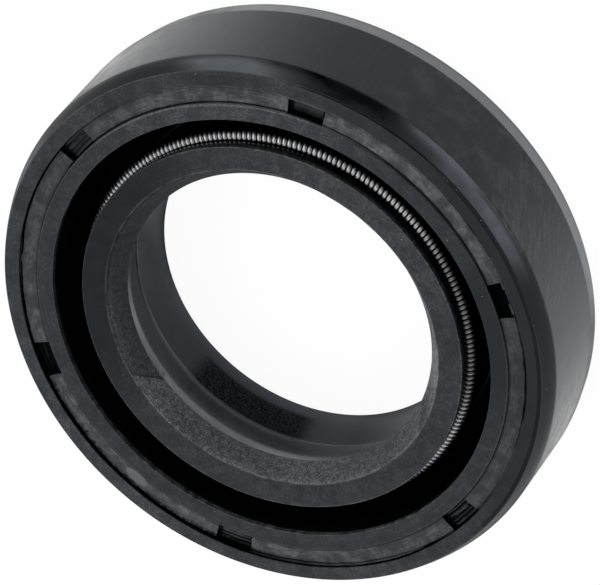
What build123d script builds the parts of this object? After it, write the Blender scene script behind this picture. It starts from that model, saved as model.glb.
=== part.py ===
from build123d import *
from math import cos, degrees, pi, radians, sin, sqrt, tan
import os

# A rubber-covered radial shaft seal with a dust lip. It lies on its flat back face, with its
# axis along +Z, the origin at the centre of the back face and the spring side up.
# All lengths are in millimetres. Radii are measured from the axis.

# What the seal fits
shaft_diameter = 30.0
housing_diameter = 52.0
width = 12.0

# Outer covering, whose cylinder presses into the housing
front_chamfer_length = 1.8
front_chamfer_depth = 0.65
back_chamfer_length = 1.9
back_chamfer_depth = 0.45

# Front face, from the outside in: a rim, a trimmed groove, a sunk track and a raised land
rim_width = 1.4
groove_width = 0.3
groove_depth = 0.45
track_width = 1.65
track_depth = 0.2
land_width = 1.62
land_step = 0.12

# Notches in the track, where the mould holds the stiffening ring by its edge
notch_count = 6
notch_length = 3.35
notch_depth = 0.85
rib_count = 3
rib_height = 0.14

# Pressed steel stiffening ring inside the rubber
steel = 1.2
ring_skin = 0.3
back_cover = 1.2
floor_cover = 0.9
flange_reach = 5.05

# Garter spring: a close-wound wire coil joined into a ring
garter_radius = 17.78
coil_diameter = 1.86
wire_pitch = 0.46
coil_sides = 6
seat_clearance = 0.02

# Sealing lip
lip_squeeze = 0.65
spring_offset = 0.36
head_drop = 0.25
head_dish = 0.14
oil_angle = 35.6
seat_overlap = 0.17
lip_edge_depth = 2.25
head_foot = 0.5
air_angle = 25.5
air_length = 1.85

# Membrane that lets the lip follow the shaft, and the valley where it meets the dust lip
membrane = 1.2
membrane_slope = 15.4
valley_height = 4.6
root_chamfer = 0.8

# Dust lip, which keeps dirt away from the air side of the sealing lip
dust_gap = 0.08
dust_tip_height = 0.6
dust_tip = 0.25
dust_groove_depth = 2.5
dust_thickness = 1.05
heel_width = 1.0


# Radii and heights that follow from the sizes above
shaft_radius = shaft_diameter / 2
outer_radius = housing_diameter / 2
rim_radius = outer_radius - front_chamfer_depth
track_outer = rim_radius - rim_width
track_inner = track_outer - track_width
track_radius = (track_outer + track_inner) / 2
track_height = width - track_depth
cavity_radius = track_inner - land_width

ring_outer = track_radius + steel / 2
ring_inner = track_radius - steel / 2
ring_top = width - notch_depth - ring_skin
flange_radius = ring_outer - flange_reach
flange_top = back_cover + steel
cavity_floor = flange_top + floor_cover

lip_radius = shaft_radius - lip_squeeze
lip_height = width - lip_edge_depth
garter_height = lip_height - spring_offset
coil_radius = coil_diameter / 2
seat_radius = coil_radius + seat_clearance
head_radius = garter_radius + seat_overlap
head_top = width - head_drop
head_inner_top = head_top - head_dish
head_inner_radius = lip_radius + (head_inner_top - lip_height) * tan(radians(oil_angle))
head_bottom = garter_height - seat_radius - head_foot
air_height = lip_height - air_length
air_radius = lip_radius + air_length * tan(radians(air_angle))
valley_radius = air_radius + (air_height - valley_height) * tan(radians(membrane_slope))
neck_height = head_bottom - membrane
neck_radius = air_radius + (air_height - neck_height) * tan(radians(membrane_slope)) + membrane
root_radius = valley_radius + membrane

dust_radius = shaft_radius + dust_gap
dust_slope = (valley_radius - dust_radius) / (valley_height - dust_tip_height)
dust_groove_radius = dust_radius + (dust_groove_depth - dust_tip_height) * dust_slope + dust_thickness
heel_radius = dust_groove_radius + heel_width


# A closed section in the plane through the axis, from corners given as radius and height
def section(*corners):
    return Plane.XZ * make_face(Polyline(*corners, close=True))


# An L, with the outside of its bend pressed flat at 45 degrees and as thick there as elsewhere
def ring_section():
    bend = steel * (2 - sqrt(2))
    return section(
        (ring_outer - bend, back_cover),
        (ring_outer, back_cover + bend),
        (ring_outer, ring_top),
        (ring_inner, ring_top),
        (ring_inner, flange_top),
        (flange_radius, flange_top),
        (flange_radius, back_cover),
    )


# The coil's outline, which the seat in the lip head follows with a little clearance
def coil_outline(reach):
    corners = [radians(360 * side / coil_sides) for side in range(coil_sides)]
    return [(garter_radius + reach * cos(turn), garter_height + reach * sin(turn)) for turn in corners]


# The rubber's section, followed from the back face round the outside, over the front face,
# down into the cavity, up the membrane, round the lip head and back along the bore.
def rubber_section():
    rubber = section(
        (outer_radius - back_chamfer_depth, 0),
        (outer_radius, back_chamfer_length),
        (outer_radius, width - front_chamfer_length),
        (rim_radius, width),
        (track_outer, width),
        (track_outer - groove_width / 2, width - groove_depth),
        (track_outer - groove_width, track_height),
        (track_inner, track_height),
        (track_inner - land_step, width),
        (cavity_radius, width),
        (cavity_radius, cavity_floor),
        (root_radius + root_chamfer, cavity_floor),
        (root_radius, cavity_floor + root_chamfer),
        (neck_radius, neck_height),
        (head_radius, head_bottom),
        (head_radius, head_top),
        (head_inner_radius, head_inner_top),
        (lip_radius, lip_height),
        (air_radius, air_height),
        (valley_radius, valley_height),
        (dust_radius, dust_tip_height),
        (dust_radius + dust_tip, dust_tip_height - dust_tip),
        (dust_groove_radius, dust_groove_depth),
        (heel_radius, 0),
    )
    spring_seat = section(*coil_outline(seat_radius))
    return rubber - spring_seat - ring_section()


# One notch, cut down through the track, with fine ribs left standing along its floor
def notch():
    floor = width - notch_depth
    rib_pitch = track_width / rib_count
    corners = [(track_outer, width + notch_depth), (track_inner, width + notch_depth)]
    for rib in range(rib_count):
        start = track_inner + rib * rib_pitch
        corners += [(start, floor), (start + rib_pitch / 2, floor + rib_height)]
    corners += [(track_outer, floor)]
    arc = degrees(notch_length / track_radius)
    return Rot(0, 0, -arc / 2) * revolve(section(*corners), Axis.Z, arc)


def seal_body():
    body = revolve(rubber_section(), Axis.Z)
    for place in range(notch_count):
        body -= Rot(0, 0, place * 360 / notch_count) * notch()
    return body


def stiffening_ring():
    return revolve(ring_section(), Axis.Z)


# The closed coil as a ring of ridges, one for each turn of wire. Each ridge is two pyramid
# frustums on the coil's tangent, back to back. The crest is the outside of the wire and the
# valley its centre line, where neighbouring turns touch. Frustums of neighbouring ridges meet
# on the plane midway between them, so every flank is flat.
def garter_spring():
    turns = round(2 * pi * garter_radius / wire_pitch)
    half_turn = pi / turns
    wire_radius = pi * garter_radius / turns
    flank = wire_radius / (garter_radius * tan(half_turn))

    def crest(turn, side):
        around = 2 * pi * side / coil_sides
        reach = garter_radius + coil_radius * cos(around)
        angle = 2 * half_turn * turn
        height = garter_height + coil_radius * sin(around)
        return (reach * cos(angle), reach * sin(angle), height)

    def valley(turn, side):
        around = 2 * pi * side / coil_sides
        along = (garter_radius + coil_radius * cos(around)) * tan(half_turn)
        along /= 1 + flank * tan(half_turn) * cos(around)
        radius = coil_radius - flank * along
        reach = along / sin(half_turn)
        angle = 2 * half_turn * (turn + 0.5)
        return (reach * cos(angle), reach * sin(angle), garter_height + radius * sin(around))

    flanks = []
    for turn in range(turns):
        for side in range(coil_sides):
            top = (crest(turn, side), crest(turn, side + 1))
            before = (valley(turn - 1, side + 1), valley(turn - 1, side))
            after = (valley(turn, side + 1), valley(turn, side))
            flanks += [Face(Wire.make_polygon([*top, *rim])) for rim in (before, after)]
    return Solid(Shell(flanks))


os.makedirs("parts", exist_ok=True)
export_step(seal_body(), "parts/seal_body.step")
export_step(stiffening_ring(), "parts/stiffening_ring.step")
export_step(garter_spring(), "parts/garter_spring.step")
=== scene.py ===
from math import asin, atan2, cos, degrees, hypot, pi, radians, sin, sqrt, tan

import bpy
from mathutils import Matrix, Vector, noise


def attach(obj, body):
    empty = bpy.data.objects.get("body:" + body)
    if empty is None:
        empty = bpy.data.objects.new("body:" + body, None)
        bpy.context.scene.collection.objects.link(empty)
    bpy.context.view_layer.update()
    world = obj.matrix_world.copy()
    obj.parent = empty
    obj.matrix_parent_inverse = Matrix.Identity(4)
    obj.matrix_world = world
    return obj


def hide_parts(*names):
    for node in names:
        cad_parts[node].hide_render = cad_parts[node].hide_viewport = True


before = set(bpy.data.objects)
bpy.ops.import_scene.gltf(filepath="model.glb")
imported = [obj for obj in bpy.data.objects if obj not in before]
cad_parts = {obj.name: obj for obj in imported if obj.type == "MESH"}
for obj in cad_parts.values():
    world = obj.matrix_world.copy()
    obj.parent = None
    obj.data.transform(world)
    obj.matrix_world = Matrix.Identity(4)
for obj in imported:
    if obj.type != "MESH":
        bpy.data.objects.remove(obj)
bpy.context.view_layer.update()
mm = 0.001
nothing = 1e-6          # metres, closer than this is the same place
enlarged = 1024         # a power of two, so that scaling there and back loses nothing
smoothAngle = 32        # degrees, faces that meet at less are shaded as one
white = (1, 1, 1, 1)


def choose(piece):
    bpy.ops.object.select_all(action='DESELECT')
    piece.select_set(True)
    bpy.context.view_layer.objects.active = piece


def startEditing(piece):
    choose(piece)
    bpy.ops.object.mode_set(mode='EDIT')
    bpy.ops.mesh.select_all(action='DESELECT')


def stopEditing():
    bpy.ops.object.mode_set(mode='OBJECT')


def pick(piece, kind, wanted):
    # selects the vertices or faces whose middle passes the test, and leaves edit mode on
    bpy.ops.mesh.select_mode(type=kind)
    bpy.ops.mesh.select_all(action='DESELECT')
    stopEditing()
    if kind == 'VERT':
        for point in piece.data.vertices:
            point.select = wanted(point.co)
    else:
        for face in piece.data.polygons:
            face.select = wanted(face.center)
    bpy.ops.object.mode_set(mode='EDIT')


def radiusOf(place):
    return hypot(place.x, place.y) / mm


def heightOf(place):
    return place.z / mm


def azimuthOf(place):
    return degrees(atan2(place.y, place.x))


def drawOutline(name, corners):
    # a half section at y = 0: one point is extruded from corner to corner, then the corners are rounded
    (radius, height), rest = corners[0][:2], corners[1:]
    bpy.ops.object.select_all(action='DESELECT')
    bpy.ops.mesh.primitive_plane_add(size=mm, location=(radius * mm, 0, height * mm))
    piece = bpy.context.object
    piece.name = piece.data.name = name
    bpy.ops.object.transform_apply(location=True)
    bpy.ops.object.mode_set(mode='EDIT')
    bpy.ops.mesh.merge(type='CENTER')
    for corner in rest:
        step = ((corner[0] - radius) * mm, 0, (corner[1] - height) * mm)
        bpy.ops.mesh.extrude_region_move(TRANSFORM_OT_translate={"value": step})
        radius, height = corner[:2]
    ends = [corners[0], corners[-1]]
    pick(piece, 'VERT', lambda p: any(near(p, end) for end in ends))
    bpy.ops.mesh.edge_face_add()
    for corner in corners:
        if len(corner) > 2:
            pick(piece, 'VERT', lambda p: near(p, corner))
            bpy.ops.mesh.bevel(offset=corner[2] * mm, segments=corner[3], affect='VERTICES')
    return piece


def near(place, corner):
    return hypot(place.x - corner[0] * mm, place.z - corner[1] * mm) < nothing


def spinRound(piece, steps):
    bpy.ops.mesh.select_all(action='SELECT')
    bpy.ops.mesh.spin(steps=steps, angle=2 * pi, center=(0, 0, 0), axis=(0, 0, 1))
    bpy.ops.mesh.select_all(action='SELECT')
    bpy.ops.mesh.remove_doubles(threshold=nothing)
    bpy.ops.mesh.normals_make_consistent(inside=False)
    return piece


def growPiece(piece, times):
    choose(piece)
    piece.scale = (times, times, times)
    bpy.ops.object.transform_apply(location=False, rotation=False, scale=True)


def keepFlat(piece):
    # flat faces are shaded flat right up to their rounded edges; the modifier skips faces as small as these,
    # so the piece is made larger for it
    growPiece(piece, enlarged)
    flat = piece.modifiers.new("flatFaces", 'WEIGHTED_NORMAL')
    flat.keep_sharp = True
    bpy.ops.object.modifier_apply(modifier=flat.name)
    growPiece(piece, 1 / enlarged)


def finishPiece(piece, slot, material, *replaced):
    stopEditing()
    bpy.ops.object.shade_smooth_by_angle(angle=radians(smoothAngle))
    if slot == "black_rubber":
        keepFlat(piece)
    piece.data.materials.clear()
    piece.data.materials.append(material)
    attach(piece, "root")
    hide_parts(*replaced)
    return piece


class Wire:
    # a node and its output socket, which can stand in a sum, and the one method that adds a node
    def __init__(self, tree, made=None, output=0):
        self.tree = tree
        self.made = made
        self.socket = made.outputs[output] if made and made.outputs else None

    def node(self, kind, settings=None, inputs=None, output=0):
        made = self.tree.nodes.new("ShaderNode" + kind)
        for name, value in (settings or {}).items():
            if name == "stops":
                made.color_ramp.interpolation = 'CONSTANT'
                ramp = made.color_ramp.elements
                while len(ramp) < len(value):
                    ramp.new(0.5)
                for stop, (place, level) in zip(ramp, value):
                    stop.position = place
                    stop.color = (level, level, level, 1)
            else:
                setattr(made, name, value)
        for name, value in (inputs or {}).items():
            if isinstance(value, Wire):
                self.tree.links.new(value.socket, made.inputs[name])
            else:
                made.inputs[name].default_value = value
        return Wire(self.tree, made, output)

    def into(self, target, name):
        self.tree.links.new(self.socket, target.made.inputs[name])

    def maths(self, operation, first, second=0.0):
        return self.node("Math", {"operation": operation}, {0: first, 1: second})

    def __add__(self, other):
        return self.maths('ADD', self, other)

    def __radd__(self, other):
        return self.maths('ADD', other, self)

    def __sub__(self, other):
        return self.maths('SUBTRACT', self, other)

    def __rsub__(self, other):
        return self.maths('SUBTRACT', other, self)

    def __mul__(self, other):
        return self.maths('MULTIPLY', self, other)

    def __rmul__(self, other):
        return self.maths('MULTIPLY', other, self)

    def __truediv__(self, other):
        return self.maths('DIVIDE', self, other)

    def __abs__(self):
        return self.maths('ABSOLUTE', self)

    def atLeast(self, other):
        return self.maths('MAXIMUM', self, other)

    def atMost(self, other):
        return self.maths('MINIMUM', self, other)

    def wrapped(self, low, high):
        return self.node("Math", {"operation": 'WRAP'}, {0: self, 1: high, 2: low})

    def rise(self, low, high):
        # 0 below low, 1 above high, smooth between
        ends = {"Value": self, "From Min": low, "From Max": high}
        return self.node("MapRange", {"interpolation_type": 'SMOOTHSTEP'}, ends)

    def within(self, low, high, edge):
        # 1 from low to high, fading out over the edge on both sides
        return self.rise(low - edge, low) * (1 - self.rise(high, high + edge))

    def around(self, middle, half, edge):
        # for an azimuth: 1 within half degrees of the middle, fading out over edge degrees
        return 1 - abs((self - middle).wrapped(-180.0, 180.0)).rise(half, half + edge)


def emptyMaterial(name):
    material = bpy.data.materials.new(name)
    material.use_nodes = True
    material.node_tree.nodes.clear()
    return material, Wire(material.node_tree)


def newMaterial(name, settings):
    material, start = emptyMaterial(name)
    shader = start.node("BsdfPrincipled", None, settings)
    start.node("OutputMaterial", None, {"Surface": shader})
    return material, shader, start


def millimetres(start):
    # the place on the piece, in millimetres
    place = start.node("TexCoord", output="Object")
    return start.node("VectorMath", {"operation": 'SCALE'}, {"Vector": place, "Scale": 1 / mm})


def split(start, vector):
    # a vector's three parts, and its azimuth in degrees
    x, y, z = (start.node("SeparateXYZ", None, {"Vector": vector}, part) for part in "XYZ")
    return x, y, z, start.maths('ARCTAN2', y, x) * (180 / pi)


def radiusFrom(start, x, y):
    return start.maths('SQRT', x * x + y * y)


body = {
    "outerRadius": 26.0, "width": 12.0,
    "frontChamfer": (1.8, 0.65), "chamferBend": (0.75, 0.208), "backChamfer": (1.9, 0.33),
    "rimWidth": 1.4, "grooveWidth": 0.3, "grooveDepth": 0.45,
    "trackWidth": 1.65, "trackDepth": 0.2, "landWidth": 1.62, "landStep": 0.12,
    # the groove beside the rim is trimmed unevenly:
    # azimuth, width, depth, depth of its middle, waver, shift outwards
    "groove": [
        (-54, 0.26, 0.44, 0.44, 0.08, 0.05), (-28, 0.28, 0.44, 0.44, 0.12, 0.05),
        (-6, 0.32, 0.44, 0.44, 0.12, 0.10), (5, 0.46, 0.38, 0.06, 0.06, 0.14),
        (40, 0.42, 0.36, 0.08, 0.06, 0.14), (47, 0.24, 0.36, 0.36, 0.05, 0.05),
        (66, 0.20, 0.30, 0.30, 0.04, 0.0), (78, 0.18, 0.22, 0.22, 0.04, 0.0),
        (92, 0.28, 0.35, 0.35, 0.08, 0.02), (106, 0.30, 0.36, 0.36, 0.10, 0.02),
        (128, 0.20, 0.24, 0.24, 0.05, 0.0), (137, 0.26, 0.40, 0.40, 0.12, 0.0),
        (148, 0.20, 0.26, 0.26, 0.05, 0.0), (170, 0.24, 0.14, 0.14, 0.04, 0.0),
        (214, 0.24, 0.14, 0.14, 0.04, 0.0), (226, 0.16, 0.24, 0.24, 0.03, 0.0),
        (241, 0.13, 0.32, 0.32, 0.02, 0.0), (252, 0.16, 0.38, 0.38, 0.03, 0.03),
        (268, 0.18, 0.42, 0.42, 0.04, 0.03), (272, 0.34, 0.46, 0.46, 0.05, 0.0),
        (275, 0.13, 0.30, 0.30, 0.0, 0.0), (278, 0.26, 0.42, 0.42, 0.06, 0.0),
        (296, 0.22, 0.40, 0.40, 0.06, 0.08), (304, 0.26, 0.42, 0.42, 0.08, 0.08),
    ],
    "grooveCells": (14, 45), "leastGroove": 0.12,              # how fine its waver is, and its least width
    "notches": 6, "notchSteps": 10, "notchDepth": 0.85, "ribs": 4,
    "trackSink": (0.05, 0.7),                # how far below the front face the track and its groove lie
    # for each notch, from azimuth 0: how high its ribs are and how far out it reaches
    "ribHeights": [0.16, 0.15, 0.04, 0.01, 0.09, 0.06], "notchReach": [24.2, 24.2, 23.62, 23.62, 24.2, 24.2],
    "landCrease": (0.1, 0.12), "deepCrease": (125, 246),       # width and depth, and between which azimuths
    "cavityFloor": 3.3,
    "garterRadius": 17.78, "garterHeight": 9.39, "seatRadius": 0.95, "seatSteps": 16,
    # how much higher the seat's mouth ends: everywhere, at most, and the azimuth there
    "seatMouth": (0.05, 0.5, 226),
    "headRadius": 17.95, "headTop": 11.75, "headDish": 0.14, "headBottom": 7.94,
    "lipRadius": 14.35, "lipHeight": 9.75, "oilAngle": 35.6,
    "airAngle": 14.0, "airLength": 1.16, "fold": (16.1, 4.85), "valleyRadius": 16.16, "neck": (16.75, 6.74),
    "rootRadius": 17.34, "trimmedCone": (255, 315, 0.07), "nick": (316.5, 0.12), "nickHalf": 0.9,
    # the cut edge's waver, calm and rough, how fine it is, and the azimuth where the rough stretch ends
    "edgeWaver": (0.03, 0.10), "edgeCells": (12, 34), "edgeEnd": 356,
    "valleyHeight": 4.15, "dustRadius": 15.08, "dustHeight": 0.6, "dustTip": 0.25,
    "dustGroove": (16.63, 2.5), "heelRadius": 17.63,
    # how far back a corner's rounding starts, and its steps
    "rounding": {
        "backFace": (0.08, 3), "backChamfer": (0.09, 3), "frontChamfer": (0.16, 4),
        "chamferBend": (0.35, 4), "rim": (0.10, 3), "rimFoot": (0.04, 2), "trackStart": (0.04, 2),
        "landFoot": (0.02, 2), "land": (0.10, 3), "landInside": (0.06, 3), "cavity": (0.6, 4),
        "root": (0.8, 4), "neck": (0.6, 4), "headBottom": (0.15, 3), "headTop": (0.07, 3),
        "headInside": (0.06, 3), "lip": (0.04, 2), "airSide": (0.35, 4), "fold": (0.5, 5),
        "valley": (0.06, 2), "dustLip": (0.05, 2), "dustGroove": (0.2, 4), "heel": (0.1, 2),
    },
    # how far off its row a point may be: on the track on either side, at the rim's foot, in the groove,
    # in a notch, on the lip, and on a notch's floor
    "slack": {"trackEnd": 0.02, "track": 0.1, "rimFoot": 0.05, "groove": 0.06, "notch": 0.06, "lip": 0.1,
              "notchFloor": 0.001},
    "frontFrom": 11,        # points above this height belong to the front face
    # the room for the steel ring inside the rubber
    "ringRoom": [(23.022, 1.2), (23.725, 1.903), (23.725, 10.85), (22.525, 10.85), (22.525, 2.4),
                 (18.675, 2.4), (18.675, 1.2)],
    "ringSteps": 144,
    "steps": 432,           # round the axis, a whole number for each notch and each gap
}


def trackEnds(b):
    # the radii where the track meets the rim and the land
    track = b["outerRadius"] - b["frontChamfer"][1] - b["rimWidth"]
    return track, track - b["trackWidth"]


def headInside(b):
    # the radius and height where the lip's oil side meets the head's top
    height = b["headTop"] - b["headDish"]
    return b["lipRadius"] + (height - b["lipHeight"]) * tan(radians(b["oilAngle"])), height


def bodyOutline(b):
    # radius, height, then the corner's rounding
    rounding = b["rounding"]
    outer = b["outerRadius"]
    rim = outer - b["frontChamfer"][1]
    chamferEnd = b["width"] - b["frontChamfer"][0]
    track, trackEnd = trackEnds(b)
    trackHeight = b["width"] - b["trackDepth"]
    trackStart = track - b["grooveWidth"]
    grooveFloor = b["width"] - b["grooveDepth"]
    cavity = trackEnd - b["landWidth"]
    airHeight = b["lipHeight"] - b["airLength"]
    air = b["lipRadius"] + b["airLength"] * tan(radians(b["airAngle"]))
    crease, creaseDepth = b["landCrease"]
    outline = [
        (outer - b["backChamfer"][1], 0, *rounding["backFace"]),
        (outer, b["backChamfer"][0], *rounding["backChamfer"]),
        (outer, chamferEnd, *rounding["frontChamfer"]),
        (outer - b["chamferBend"][1], chamferEnd + b["chamferBend"][0], *rounding["chamferBend"]),
        (rim, b["width"], *rounding["rim"]),
        (track, b["width"], *rounding["rimFoot"]),
        (track - b["grooveWidth"] * 0.25, grooveFloor),
        (track - b["grooveWidth"] * 0.5, grooveFloor),
        (track - b["grooveWidth"] * 0.75, grooveFloor),
        (trackStart, trackHeight, *rounding["trackStart"]),
    ]
    between = b["trackWidth"] - b["grooveWidth"]
    for step in range(1, 2 * b["ribs"]):
        outline.append((trackStart - between * step / (2 * b["ribs"]), trackHeight))
    outline += [
        (trackEnd + crease, trackHeight),
        (trackEnd + crease / 2, trackHeight - creaseDepth),
        (trackEnd, trackHeight, *rounding["landFoot"]),
        (trackEnd - b["landStep"], b["width"], *rounding["land"]),
        (cavity, b["width"], *rounding["landInside"]),
        (cavity, b["cavityFloor"], *rounding["cavity"]),
        (b["rootRadius"], b["cavityFloor"], *rounding["root"]),
        (*b["neck"], *rounding["neck"]),
        (b["headRadius"], b["headBottom"], *rounding["headBottom"]),
    ]
    mouth = degrees(asin((b["headRadius"] - b["garterRadius"]) / b["seatRadius"]))
    for step in range(b["seatSteps"] + 1):
        turn = radians(-90 + mouth - (180 + 2 * mouth) * step / b["seatSteps"])
        outline.append((b["garterRadius"] + b["seatRadius"] * cos(turn),
                        b["garterHeight"] + b["seatRadius"] * sin(turn)))
    outline += [
        (b["headRadius"], b["headTop"], *rounding["headTop"]),
        (*headInside(b), *rounding["headInside"]),
        (b["lipRadius"], b["lipHeight"], *rounding["lip"]),
        (air, airHeight, *rounding["airSide"]),
        (*b["fold"], *rounding["fold"]),
        (b["valleyRadius"], b["valleyHeight"], *rounding["valley"]),
        (b["dustRadius"], b["dustHeight"], *rounding["dustLip"]),
        (b["dustRadius"] + b["dustTip"], b["dustHeight"] - b["dustTip"], *rounding["dustLip"]),
        (*b["dustGroove"], *rounding["dustGroove"]),
        (b["heelRadius"], 0, *rounding["heel"]),
    ]
    return outline


def atAzimuth(knots, azimuth):
    # the values between the two knots on either side of an azimuth
    turned = (azimuth - knots[0][0]) % 360 + knots[0][0]
    closed = knots + [(knots[0][0] + 360, *knots[0][1:])]
    index = max(i for i in range(len(knots)) if closed[i][0] <= turned)
    low, high = closed[index], closed[index + 1]
    share = (turned - low[0]) / (high[0] - low[0])
    return [first + (second - first) * share for first, second in zip(low[1:], high[1:])]


def waver(place, cells, size):
    return size * noise.noise(place.xy.normalized().to_3d() * cells)


def trimGroove(piece, b):
    # the groove's floor and the track's rows move, so that it is as wide and deep as it was trimmed there
    track, trackEnd = trackEnds(b)
    plain = b["grooveWidth"]
    coarse, fine = b["grooveCells"]
    slack = b["slack"]
    stopEditing()
    for point in piece.data.vertices:
        radius = radiusOf(point.co)
        onTrack = trackEnd + slack["trackEnd"] < radius < track + slack["track"]
        if heightOf(point.co) < b["frontFrom"] or not onTrack:
            continue
        width, depth, middle, wild, outwards = atAzimuth(b["groove"], azimuthOf(point.co))
        width = max(width + waver(point.co, coarse, wild) + waver(point.co, fine, wild), b["leastGroove"])
        if radius > track - slack["rimFoot"]:
            radius += outwards
        elif radius > track - plain + slack["groove"]:
            across = (track - radius) / plain
            point.co.z = (b["width"] - (middle if 0.4 < across < 0.6 else depth)) * mm
            radius = track + outwards - across * width
        elif radius < trackEnd + b["landCrease"][0] * 0.7:
            start, end = b["deepCrease"]
            if not start < azimuthOf(point.co) % 360 < end:
                point.co.z = (b["width"] - b["trackDepth"]) * mm
        else:
            stretched = (b["trackWidth"] + outwards - width) / (b["trackWidth"] - plain)
            radius = trackEnd + (radius - trackEnd) * stretched
        point.co.xy = point.co.xy.normalized() * radius * mm
    startEditing(piece)


def trimLip(piece, b):
    # the oil side is cut by hand: its outer edge wavers, one stretch is cut deeper, and its edge has a nick
    outer, top = headInside(b)
    start, end, deeper = b["trimmedCone"]
    mouth = b["garterHeight"] + sqrt(b["seatRadius"] ** 2 - (b["headRadius"] - b["garterRadius"]) ** 2)
    least, most, highest = b["seatMouth"]
    slack = b["slack"]["lip"]
    coarse, fine = b["edgeCells"]
    stopEditing()
    for point in piece.data.vertices:
        radius, height, azimuth = radiusOf(point.co), heightOf(point.co), azimuthOf(point.co) % 360
        if near(Vector((radius * mm, 0, height * mm)), (b["headRadius"], mouth)):
            point.co.z += (least + (most - least) * max(cos(radians(azimuth - highest)), 0)) * mm
        if height < b["lipHeight"] - slack or radius > outer + slack:
            continue
        if height > top - slack:
            rough = b["edgeWaver"][start < azimuth < b["edgeEnd"]]
            radius += waver(point.co, coarse, rough) + waver(point.co, fine, rough * 0.5)
        elif abs(azimuth - b["nick"][0]) < b["nickHalf"]:
            radius += b["nick"][1]
        if start < azimuth < end:
            radius += deeper
        point.co.xy = point.co.xy.normalized() * radius * mm
    startEditing(piece)


def cutNotches(piece, b):
    # the track's faces inside each notch are pushed down to one flat floor, then every other edge is raised
    # as a rib
    trackEnd = trackEnds(b)[1]
    half = 180 / b["steps"] * b["notchSteps"]
    pitch = 360 / b["notches"]
    floor = b["width"] - b["notchDepth"]
    shallow, deep = b["trackSink"]
    slack = b["slack"]

    def onTrack(place):
        notch, turned = divmod(azimuthOf(place) % 360 + pitch / 2, pitch)
        reach = b["notchReach"][int(notch) % b["notches"]]
        return (abs(turned - pitch / 2) < half and trackEnd - slack["notch"] < radiusOf(place) < reach
                and shallow < b["width"] - heightOf(place) < deep)

    pick(piece, 'FACE', onTrack)
    bpy.ops.mesh.extrude_region_move(TRANSFORM_OT_translate={"value": (0, 0, 0)})
    bpy.ops.transform.resize(value=(1, 1, 0), center_override=(0, 0, floor * mm))
    ribPitch = b["trackWidth"] / b["ribs"]
    for notch in range(b["notches"]):

        def onRib(place):
            away = (azimuthOf(place) - notch * pitch + 180) % 360 - 180
            along = (radiusOf(place) - trackEnd) / ribPitch
            onFloor = abs(heightOf(place) - floor) < slack["notchFloor"]
            return onFloor and abs(away) < pitch / 2 and 0.25 < along % 1 < 0.75

        pick(piece, 'VERT', onRib)
        bpy.ops.transform.translate(value=(0, 0, b["ribHeights"][notch] * mm))


def makeBody(b, material):
    piece = drawOutline("mouldedBody", bodyOutline(b))
    # a notch's side falls on a step, because half a notch is a whole number of steps
    spinRound(piece, b["steps"])
    trimGroove(piece, b)
    trimLip(piece, b)
    cutNotches(piece, b)
    stopEditing()
    room = drawOutline("ringRoom", b["ringRoom"])
    spinRound(room, b["ringSteps"])
    bpy.ops.mesh.flip_normals()
    stopEditing()
    piece.select_set(True)
    bpy.context.view_layer.objects.active = piece
    bpy.ops.object.join()
    startEditing(piece)
    return finishPiece(piece, "black_rubber", material, "seal_body")


spring = {
    "radius": 17.78, "height": 9.39, "coil": 1.86, "wire": 0.39, "turns": 243,
    "pointsPerTurn": 16, "wireSides": 10,
}


def makeSpring(s, material):
    curve = bpy.data.curves.new("woundSpring", 'CURVE')
    curve.dimensions = '3D'
    spline = curve.splines.new('POLY')
    count = s["turns"] * s["pointsPerTurn"]
    spline.points.add(count - 1)
    coil = (s["coil"] - s["wire"]) / 2
    for index, point in enumerate(spline.points):
        azimuth = 2 * pi * index / count
        turn = -s["turns"] * azimuth
        reach = s["radius"] + coil * cos(turn)
        place = Vector((reach * cos(azimuth), reach * sin(azimuth), s["height"] + coil * sin(turn)))
        point.co = (*(place * mm), 1)
    spline.use_cyclic_u = True
    curve.bevel_depth = s["wire"] / 2 * mm
    curve.bevel_resolution = s["wireSides"] // 2 - 1
    piece = bpy.data.objects.new("woundSpring", curve)
    bpy.context.scene.collection.objects.link(piece)
    choose(piece)
    bpy.ops.object.convert(target='MESH')
    piece = bpy.context.object
    startEditing(piece)
    bpy.ops.mesh.select_all(action='SELECT')
    bpy.ops.mesh.remove_doubles(threshold=nothing)
    bpy.ops.mesh.normals_make_consistent(inside=False)
    return finishPiece(piece, "spring_wire", material, "garter_spring")


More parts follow.
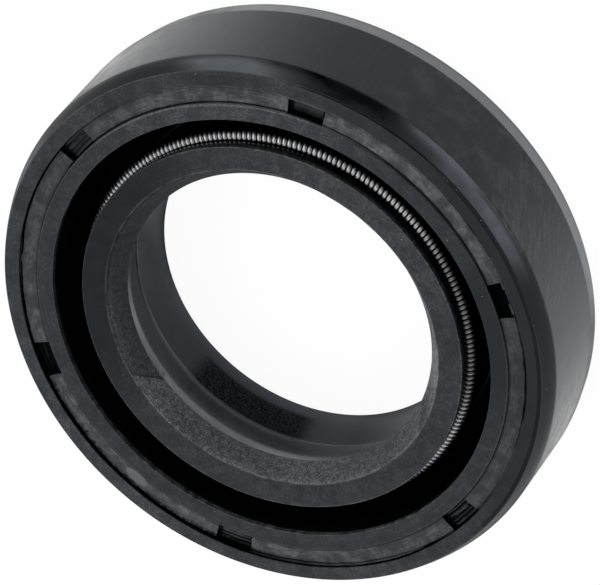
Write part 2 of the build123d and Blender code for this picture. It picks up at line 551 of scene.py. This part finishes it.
rubber = {
    "shade": 0.004, "darkest": 0.0005,
    "tint": (0.97, 0.99, 1.05), "cutTint": (0.98, 0.99, 1.04), "shine": (0.90, 0.985, 1.11, 1),
    "roughness": 0.2, "faceRoughness": 0.34,
    "rimHaze": 0.030, "landHaze": 0.026, "lipHaze": 0.023,     # dried release agent on the moulded faces
    "trackShade": 0.070, "trackRoughness": 0.55,               # ground back after moulding
    "frosted": 0.092, "frostedRoughness": 0.7,                 # the lip's oil side, cut to its edge
    "headHaze": 0.030, "boreHaze": 0.005, "boreFoldHighlight": 0.045,
    "wallHaze": 0.003, "wisps": 0.030, "hatching": 0.035,
    "hollowShade": 0.001, "hollowRoughness": 0.7,
    "paintedHighlight": 0.05,                                            # painted highlight on edges that catch the light
    "trimmed": 0.075,                                          # frayed rubber along a cut edge, and its painted highlight
    "dust": 0.3, "speck": 0.5,
    "wallPerDegree": 0.4538,                                   # millimetres along the wall for a degree
    "paintedLightFrom": {"rim": -23, "track": -13},                   # the azimuth that each is painted lighter towards, as painted light from that side
    # painted shade: how dark the floor of each notch is, with the share of the circle where each one's
    # stretch starts
    "notchDark": [(0, 0.75), (0.083, 0.8), (0.25, 1.0), (0.417, 0.05), (0.583, 0.35), (0.75, 0.95),
                  (0.917, 0.75)],
    # the faces: from and to which radius and the soft edge, then from and to which height and the soft edge
    "regions": {
        "rim": (23.98, 30, 0.06, 11.95, 13, 0.1), "wall": (25.97, 30, 0.07, -1, 13, 0.1),
        "land": (20.6, 22.22, 0.04, 11.3, 13, 0.2), "lipFace": (15.5, 17.94, 0.02, 11.4, 13, 0.1),
        "oilCone": (14.36, 15.76, 0.04, 9.76, 11.58, 0.03), "head": (17.85, 17.99, 0.02, 11.9, 13, 1.2),
        "bore": (1, 16.3, 0.1, -1, 9.5, 0.2), "cavity": (18.05, 20.72, 0.03, 3.0, 11.35, 0.3),
        "crease": (22.28, 24.12, 0.01, 11.33, 11.64, 0.03),
        "notchInside": (22.2, 22.33, 0.01, 11.0, 11.7, 0.03),
        "notchOutside": (23.96, 24.12, 0.01, 11.0, 11.85, 0.03),
        "notchFloor": (22.33, 24.0, 0.02, 11.0, 11.32, 0.01),
        "notchEnd": (22.3, 24.0, 0.02, 11.0, 11.75, 0.02),
    },
    # the stretches of the circle where a face differs: middle azimuth, half the width and the soft edge
    "stretches": {
        "paintedShadeRim": (112, 32, 34), "paintedShadeTrack": (107, 10, 18), "shadedTrack": (-20, 30, 20),
        "paintedShadeGrooveEdge": (-25, 25, 12), "paintedLightLand": (201, 14, 30), "paintedShadeLand": (111, 8, 24),
        "paintedLightLip": (156, 14, 30), "paintedShadeLip": (266, 26, 25),
        "farOil": (-20, 40, 25), "cutOil": (12, 60, 1.2), "sideOil": (60, 30, 30), "nearOil": (108, 8, 26),
        "topOil": (-20, 55, 15), "passEnd": (311.4, 0.25, 0.5), "lastPassEnd": (254.5, 0.4, 0.9),
        "stain": (-13, 17, 8), "foldHighlightNorth": (40, 6, 12), "foldHighlightSouth": (272, 8, 16),
        "paintedShadeNorth": (40, 6, 14), "paintedShadeSouth": (273, 9, 16), "paintedShadeLow": (36, 8, 12),
        "wisps": (149, 12, 12), "hatching": (127, 9, 9), "hatchingRelief": (127, 9, 8),
        "fibres": (150, 50, 30), "landEdge": (207, 22, 12), "landInside": (4, 44, 22), "lipEdge": (0, 55, 30),
        "rimLine": (190, 12, 10),
        "paintedShadeRimLine": (105, 38, 12), "paintedShadeRimEdge": (167, 11, 9), "paintedShadeLipFace": (268, 38, 22),
    },
    # a smooth oval on the track: azimuth, radius, half length, half width, shade
    "blemish": (334, 22.86, 1.25, 0.52, 0.16),
    # for each scratch: azimuth, radius, slope, half length, shade
    "scratches": [(212, 22.9, 0.10, 5.5, 0.05), (228, 22.7, -0.06, 4, 0.03), (202, 22.02, 0.0, 9, 0.05),
                  (314, 22.9, 0.45, 1.3, -0.08), (318, 23.1, -0.3, 1.5, -0.06), (309, 23.2, 0.2, 2, -0.06)],
    # for each speck of dust: azimuth, radius, size
    "specks": [(138, 25.22, 0.05), (145.5, 25.26, 0.04), (148, 25.2, 0.035), (133, 25.3, 0.035),
               (204, 25.1, 0.04), (137.5, 21.2, 0.05), (122, 21.5, 0.035), (218, 22.1, 0.035)],
    "speckHeight": 12.0,
}


def rubberMaterial(r):
    material, shader, start = newMaterial("blackRubber", {"IOR": 1.5, "Specular Tint": r["shine"]})
    place = millimetres(start)
    x, y, z, azimuth = split(start, place)
    radius = radiusFrom(start, x, y)

    def towards(angle):
        # 1 on the side at this azimuth, -1 on the far side
        return (x * cos(radians(angle)) + y * sin(radians(angle))) / radius

    def ringNoise(along, across, second, detail=3.0, shift=0.0):
        # noise drawn out along the circle: cells for each radian round it, and for each millimetre across
        turned = start.node("CombineXYZ", None, {"X": x / radius * along, "Y": y / radius * along,
                                                 "Z": second * across + shift})
        return start.node("TexNoise", None, {"Vector": turned, "Scale": 1.0, "Detail": detail})

    def spotNoise(scale, detail=3.0, low=0.35, high=0.65):
        noisy = start.node("TexNoise", None, {"Vector": place, "Scale": scale, "Detail": detail})
        return noisy.rise(low, high)

    def inside(region):
        inner, outer, edge, low, high, blur = r["regions"][region]
        return radius.within(inner, outer, edge) * z.within(low, high, blur)

    def stretch(name, turn=azimuth):
        return turn.around(*r["stretches"][name])

    def turnFrom(angle):
        return (azimuth - angle).wrapped(-180.0, 180.0)

    cloud, blotch, grain, fine = spotNoise(0.16), spotNoise(0.8), spotNoise(2.6, 4.0), spotNoise(7.0, 2.0)
    brushed = ringNoise(16.0, 9.0, radius, 4.0).rise(0.3, 0.7)
    speckled = (0.5 + 1.0 * fine) * (0.7 + 0.6 * blotch) * (0.75 + 0.5 * grain)
    broken = ringNoise(28.0, 0.5, z, 3.0, 3.0).rise(0.38, 0.66)
    top = z.rise(11.1, 11.3)
    track = top * radius.rise(22.2, 22.6) * (1 - radius.rise(23.9, 23.94))
    rim, wall, land, lipFace = inside("rim"), inside("wall"), inside("land"), inside("lipFace")
    oilCone, head, bore = inside("oilCone"), inside("head"), inside("bore")

    # painted shade: the notches, the cavity and the creases are made dark where they keep the light out
    notchDark = start.node("ValToRGB", {"stops": r["notchDark"]}, {"Fac": (azimuth / 360).wrapped(0.0, 1.0)})
    notchWall = inside("notchInside") + inside("notchOutside")
    notchFloor = inside("notchFloor") * notchDark * (1 - 0.8 * z.rise(11.19, 11.25))
    # the six notches fall on one another here, so that one stretch holds for all of their ends
    inNotch = abs(azimuth.wrapped(-30.0, 30.0))
    notchEnd = inside("notchEnd") * inNotch.within(3.5, 4.3, 0.3)
    notch = notchWall.atLeast(notchFloor).atLeast(0.8 * notchEnd)
    hollow = inside("cavity").atLeast(inside("crease")).atLeast(notch)

    # how light the rim, the track, the land and the lip's face are; each is painted lighter and darker by
    # azimuth, as painted light and shade
    # painted shade: the rim is darker along one stretch, and painted light makes it lighter towards one side
    rimPaintedShade = 1 - 0.85 * stretch("paintedShadeRim")
    rimPaintedLight = 1 + 0.27 * towards(r["paintedLightFrom"]["rim"])
    rimShade = r["rimHaze"] * rimPaintedLight * rimPaintedShade * (0.7 + 0.6 * cloud) * speckled
    # painted light: the track is lighter towards two opposite sides
    side = towards(r["paintedLightFrom"]["track"])
    # the track's ground grain, with painted shade along one stretch
    ground = ((0.7 + 0.6 * brushed) * (0.55 + 0.9 * blotch) * (0.85 + 0.3 * fine) * (0.8 + 0.4 * grain)
              * (1 - 0.35 * stretch("paintedShadeTrack")))
    ragged = ringNoise(60.0, 3.0, radius, 5.0, 5.0) - 0.5
    # painted shadow on the track beside the groove
    shadow = (radius + 0.8 * ragged).rise(23.1, 23.75) * (stretch("shadedTrack") + 0.3)
    # painted shade: a ragged dark edge on the track beside the groove
    raggedGrooveShade = (top * (radius + 1.5 * ragged).rise(23.52, 23.66) * (1 - radius.rise(24.0, 24.1))
              * stretch("paintedShadeGrooveEdge"))
    trackShade = r["trackShade"] * (0.65 + 0.6 * side * side) * ground * (1 - 0.75 * shadow)
    # painted light and shade: the land is lighter along one stretch and darker along another
    landPaintedLight = 0.85 + 0.9 * stretch("paintedLightLand") - 0.75 * stretch("paintedShadeLand")
    landShade = r["landHaze"] * landPaintedLight * speckled * (0.75 + 0.5 * brushed)
    # painted light and shade: the lip's face is lighter along one stretch and darker along another
    lipPaintedLight = 1 + 0.7 * stretch("paintedLightLip") - 0.75 * stretch("paintedShadeLip")
    lipShade = r["lipHaze"] * lipPaintedLight * speckled

    # the oil side was cut in passes, whose ends run aslant across it
    slant, lean = azimuth + (radius - 15.42) * 6.07, azimuth - (radius - 14.4) * 2.4
    # painted sheen: the oil side is made lighter towards the far side, the sides, the near side and its top
    lit = (0.2 + 0.22 * stretch("farOil") + 0.5 * stretch("cutOil", slant)
           + 0.25 * stretch("sideOil") + 1.6 * stretch("nearOil"))
    lit = lit * (1 - 0.7 * stretch("passEnd", slant)) * (1 - 0.7 * stretch("lastPassEnd", lean))
    lit = lit + 0.35 * radius.rise(15.2, 15.66) * stretch("topOil")
    frosted = r["frosted"] * lit * (0.5 + fine) * (0.7 + 0.6 * grain) * (0.8 + 0.4 * cloud)

    # how light the head and the bore are; painted shade darkens the head's wall downwards into the cavity
    headShade = r["headHaze"] * (0.3 + 1.4 * grain) * (0.5 + fine) * z.rise(10.9, 11.8)
    stain = bore * stretch("stain") * z.within(1.9, 4.2, 0.5)
    # painted highlight: lighter patches on the bore where it folds
    foldHighlight = z.within(4.4, 6.0, 0.6) * (stretch("foldHighlightSouth") + stretch("foldHighlightNorth"))
    boreShade = (r["boreHaze"] + r["boreFoldHighlight"] * foldHighlight) * (0.4 + 1.2 * fine) * (0.6 + 0.8 * blotch)
    # painted shade, kept in matt: the air side is made darker where it bends, beside the lip and low down
    matt = bore * (0.35 * z.within(5.2, 8.0, 0.5)
                   + z.rise(7.6, 8.2) * (0.6 * stretch("paintedShadeNorth") + 0.8 * stretch("paintedShadeSouth"))
                   + 0.3 * (1 - z.rise(3.6, 4.6)) * stretch("paintedShadeLow"))

    # the wall has wisps, hatching and long fibres
    crumple = start.node("TexNoise", None, {"Vector": place, "Scale": 0.5, "Detail": 7.0, "Roughness": 0.6,
                                            "Distortion": 0.4}).rise(0.42, 0.72)
    slope = (turnFrom(128) * r["wallPerDegree"] + z * 0.7) * 1.9
    strokes = start.node("CombineXYZ", None, {"X": slope, "Y": z * 0.45})
    slanted = start.node("TexNoise", None, {"Vector": strokes, "Scale": 1.0, "Detail": 2.0}).rise(0.46, 0.64)
    fibres = ringNoise(150.0, 0.25, z).rise(0.45, 0.75)
    wallShade = (r["wallHaze"] * (0.4 + 1.2 * cloud) * (0.7 + 0.6 * fine)
                 + r["wisps"] * crumple * stretch("wisps")
                 + r["hatching"] * slanted * (0.2 + 1.0 * fine) * stretch("hatching")
                 + r["hatching"] * 0.3 * fibres * stretch("fibres"))
    level = (r["shade"] + rim * rimShade + track * trackShade + land * landShade + lipFace * lipShade
             + oilCone * frosted + wall * wallShade + head * headShade + bore * boreShade)

    # painted highlights on edges that catch the light, and dust that lies on the faces
    rimLine = rim * radius.within(24.98, 25.3, 0.05)
    paintedHighlight = (land * (1.6 * radius.within(22.08, 22.15, 0.03) * stretch("landEdge")
                      + broken * radius.within(20.6, 20.74, 0.04) * (0.25 + stretch("landInside")))
              + 0.5 * lipFace * radius.rise(17.82, 17.88) * stretch("lipEdge")
              + 0.2 * rimLine * stretch("rimLine"))
    level = level + r["paintedHighlight"] * paintedHighlight * (0.5 + fine)
    dust = start.node("TexVoronoi", None, {"Vector": place, "Scale": 0.8})
    kept = start.node("TexVoronoi", None, {"Vector": place, "Scale": 0.8}, "Color")
    chosen = start.node("SeparateXYZ", None, {"Vector": kept}, "X").rise(0.62, 0.66)
    level = level + r["dust"] * chosen * (1 - dust.rise(0.02, 0.04)) * (top + lipFace)

    # marks: a smooth oval on the track, scratches, specks of dust and the frayed cut edge with its painted
    # highlight
    angle, middle, long, short, shade = r["blemish"]
    along, across = turnFrom(angle) * (radians(1) * middle / long), (radius - middle) / short
    oval = 1 - (along * along + across * across).rise(0.8, 1.1)
    level = level * (1 - oval * top) + oval * top * shade
    for angle, middle, slope, half, shade in r["scratches"]:
        turned = turnFrom(angle)
        line = 1 - abs(radius - middle - turned * slope).rise(0.02, 0.06)
        level = level + line * top * (1 - abs(turned).rise(half * 0.6, half)) * shade
    for angle, middle, size in r["specks"]:
        speck = (middle * cos(radians(angle)), middle * sin(radians(angle)), r["speckHeight"])
        spot = start.node("VectorMath", {"operation": 'DISTANCE'}, {0: place, 1: speck}, "Value")
        level = level + r["speck"] * (1 - spot.rise(size * 0.6, size * 1.2))
    edge = (1 - abs(radius - 15.7).rise(0.05, 0.13)) * z.rise(11.5, 11.56)
    level = level + r["trimmed"] * edge * ringNoise(11.0, 1.0, z, 4.0, 7.0).rise(0.32, 0.62)

    # painted shade: the hollows, lines along the rim's edge, a stretch of the lip's face, the air side and
    # the groove's edge are made dark; a stain on the bore is the thing's own
    rimEdge = rim * radius.within(25.24, 25.36, 0.04)
    patchyShadeAndStain = (stain * (0.6 + 0.5 * fine) + 0.5 * rimLine * stretch("paintedShadeRimLine") + matt
              + 0.75 * rimEdge * stretch("paintedShadeRimEdge") + 0.28 * lipFace * stretch("paintedShadeLipFace")
              + 0.7 * raggedGrooveShade * z.within(11.3, 11.9, 0.03))
    shadeAndStain = hollow.atLeast(patchyShadeAndStain.atMost(1.0))
    level = (level * (1 - shadeAndStain) + shadeAndStain * r["hollowShade"]).atLeast(r["darkest"])
    tints = {0: track + oilCone, 6: (*r["tint"], 1), 7: (*r["cutTint"], 1)}
    cool = start.node("Mix", {"data_type": 'RGBA'}, tints, 2)
    tinted = start.node("VectorMath", {"operation": 'SCALE'}, {"Vector": cool, "Scale": level})

    faces = rim + land + lipFace
    plain = r["roughness"]
    roughness = (plain + faces * (r["faceRoughness"] - plain) + track * (r["trackRoughness"] - plain)
                 + oilCone * (r["frostedRoughness"] - plain)
                 + (hollow + head * (1 - lipFace)) * (r["hollowRoughness"] - plain) + 0.08 * (blotch - 0.5))
    relief = (fine * (0.12 + oilCone * 0.5 + bore * 0.3) + grain * oilCone * 0.6 + track * brushed * 0.8
              + wall * crumple * 0.7 * stretch("wisps") + wall * slanted * 0.4 * stretch("hatchingRelief"))
    bump = start.node("Bump", None, {"Strength": 0.5, "Distance": 0.02 * mm, "Height": relief})
    tinted.into(shader, "Base Color")
    roughness.into(shader, "Roughness")
    (shadeAndStain * 0.9).into(shader, "Metallic")
    bump.into(shader, "Normal")
    return material


wire = {
    "shade": 0.64, "tint": (1.0, 1.0, 1.02), "roughness": 0.34,
    "paintedShadeHeight": (9.75, 10.08), "paintedShadeRadius": (17.84, 17.98),      # between which the painted shade ends
    "paintedShadeStretch": (111, 15, 26), "paintedLightStretch": (198, 12, 25),
}


def wireMaterial(w):
    # painted shade and light: bright where it shows, painted dark lower down and beside the lip where shade
    # falls, darker along one stretch and lighter along another
    material, shader, start = newMaterial("springWire", {"Metallic": 1.0})
    place = millimetres(start)
    x, y, z, azimuth = split(start, place)
    radius = radiusFrom(start, x, y)
    drawn = start.node("TexNoise", None, {"Vector": place, "Scale": 4.0, "Detail": 3.0})
    # clear holds the painted light and shade on the wire
    clear = (z.rise(*w["paintedShadeHeight"]) * radius.rise(*w["paintedShadeRadius"])
             * (1 - 0.66 * azimuth.around(*w["paintedShadeStretch"])) * (1 + 0.2 * azimuth.around(*w["paintedLightStretch"])))
    shade = w["shade"] * clear
    colour = start.node("VectorMath", {"operation": 'SCALE'}, {"Vector": w["tint"], "Scale": shade})
    colour.into(shader, "Base Color")
    (w["roughness"] * (0.6 + 0.8 * drawn)).into(shader, "Roughness")
    return material


steel = {"shade": 0.30, "tint": (1.0, 0.98, 0.95), "roughness": 0.5}


def steelMaterial(s):
    # dull pressed steel, seen only where the rubber is cut away
    material, shader, start = newMaterial("pressedSteel", {"Metallic": 1.0})
    scale = start.node("TexNoise", None, {"Vector": millimetres(start), "Scale": 0.7, "Detail": 4.0})
    shade = s["shade"] * (0.7 + 0.6 * scale)
    colour = start.node("VectorMath", {"operation": 'SCALE'}, {"Vector": s["tint"], "Scale": shade})
    colour.into(shader, "Base Color")
    (s["roughness"] * (0.8 + 0.4 * scale)).into(shader, "Roughness")
    return material


makeBody(body, rubberMaterial(rubber))
print("rubber body made")
makeSpring(spring, wireMaterial(wire))
print("spring made")
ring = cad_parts["stiffening_ring"]
ring.data.materials.clear()
ring.data.materials.append(steelMaterial(steel))
print("steel ring finished")


studio = {
    "floorSize": 3.0, "floorGap": 0.01,     # its size in metres, and how far below the seal it lies in mm
    "floorColour": (0.95, 0.95, 0.95, 1), "floorRoughness": 0.9, "floorShare": 0.15, "floorGlow": 1.1,
    # how bright the world is, and how much darker towards two directions
    "world": 1.15, "behind": (-0.577, 0.251, 0.777), "behindDark": 0.8, "behindSpan": (0.75, 0.97),
    "above": (0.577, -0.251, 0.777), "aboveDark": 0.55, "aboveSpan": (0.55, 0.95),
    # a low dark screen: azimuth, half its width, soft edge, and its lower and upper end and soft edge
    "screen": (126, 40, 10), "screenHeight": (-0.05, 0.55, 0.15), "screenDark": 0.85,
    # painted reflections: what shiny faces see of the floor, as light and dark patches painted on it that
    # only reflections see: strength, azimuth, half its width, soft edge, all in degrees, then nearest,
    # furthest and soft edge in mm
    "paintedReflections": [
        (-0.1, 0, 360, 1, 0, 36, 1), (-0.53, 0, 360, 1, 38, 1500, 3),
        # beside the wall
        (-0.38, 162, 18, 38, 27, 36, 0.6), (-0.65, 44, 6, 30, 25.8, 36, 0.3),
        (-0.7, 40, 15, 6, 24, 25.5, 0.3), (-0.72, 272, 8, 28, 25.8, 31, 0.3),
        (-0.55, 272, 12, 28, 31.3, 36, 0.3), (-0.72, 274, 17, 6, 24, 25.5, 0.3),
        (0.6, 158, 18, 40, 26.0, 26.5, 0.4), (-0.5, 88, 8, 16, 25.0, 26.3, 0.5),
        (-0.35, 224, 8, 14, 25.0, 26.3, 0.5),
        # further out, in front
        (1.4, 131, 13, 10, 58, 160, 6), (0.5, 126, 4, 6, 54, 160, 6), (1.9, 149, 7, 8, 47, 56, 3),
        (0.6, 154, 4, 5, 56, 90, 8), (-0.45, 178, 9, 7, 43, 160, 5), (-0.3, 194, 5, 5, 40, 48, 3),
        (1.65, 213, 6, 9, 47, 160, 4), (0.5, 202, 3, 5, 57, 160, 6), (-0.13, 248, 12, 10, 36, 160, 2),
        # inside the bore
        (-0.88, 0, 360, 1, 15.4, 20, 1.8), (-0.2, 0, 360, 1, 0, 11.5, 1),
        (0.3, 0, 360, 1, 12.2, 13.2, 0.6), (-0.45, 284, 8, 22, 0, 14.5, 1),
    ],
}

bpy.ops.mesh.primitive_plane_add(size=studio["floorSize"], location=(0, 0, -studio["floorGap"] * mm))
floor = bpy.context.object
floor.name = "studioFloor"
material, start = emptyMaterial("studioFloor")
x, y, z, azimuth = split(start, millimetres(start))
radius = radiusFrom(start, x, y)
shiny = start.node("LightPath", output="Is Glossy Ray")
seen = start.node("LightPath", output="Is Camera Ray")
# the camera sees the floor as white with a share of its shadow, and shiny faces see painted reflections on it
level = 1 + seen * (studio["floorGlow"] - 1)
for strength, middle, half, soft, nearest, furthest, blur in studio["paintedReflections"]:
    reflectedPatch = azimuth.around(middle, half, soft) * radius.within(nearest, furthest, blur)
    level = level + reflectedPatch * shiny * strength
matt = {"Base Color": studio["floorColour"], "Roughness": studio["floorRoughness"]}
shaded = start.node("BsdfPrincipled", None, matt)
glow = start.node("Emission", None, {"Color": white, "Strength": level})
share = shiny + seen * (1 - studio["floorShare"])
mixed = start.node("MixShader", None, {0: share, 1: shaded, 2: glow})
start.node("OutputMaterial", None, {"Surface": mixed})
floor.data.materials.append(material)

world = bpy.data.worlds.new("studio")
bpy.context.scene.world = world
world.use_nodes = True
world.node_tree.nodes.clear()
start = Wire(world.node_tree)
# white all round, and darker on the camera's side and opposite it
direction = start.node("TexCoord", output="Generated")
strength = studio["world"]
for name in ("behind", "above"):
    facing = start.node("VectorMath", {"operation": 'DOT_PRODUCT'}, {0: direction, 1: studio[name]}, "Value")
    strength = strength * (1 - studio[name + "Dark"] * facing.rise(*studio[name + "Span"]))
x, y, z, azimuth = split(start, direction)
screen = azimuth.around(*studio["screen"]) * z.within(*studio["screenHeight"])
strength = strength * (1 - studio["screenDark"] * screen)
background = start.node("Background", None, {"Color": white, "Strength": strength})
start.node("OutputWorld", None, {"Surface": background})

view = {
    "azimuth": 156.5, "tilt": 39.06, "roll": 218.96,
    "away": (2.743, 3.384, 465.746),        # millimetres right, up and back from the middle of the front face
    "lens": 322.9,
}
turned = (Matrix.Rotation(radians(view["azimuth"] + 90), 3, 'Z')
          @ Matrix.Rotation(radians(view["tilt"]), 3, 'X')
          @ Matrix.Rotation(radians(view["roll"]), 3, 'Z'))
bpy.ops.object.camera_add()
camera = bpy.context.object
camera.rotation_euler = turned.to_euler()
camera.location = Vector((0, 0, body["width"] * mm)) + turned @ (Vector(view["away"]) * mm)
camera.data.lens = view["lens"]
bpy.context.scene.camera = camera
bpy.context.scene.view_settings.view_transform = 'Standard'
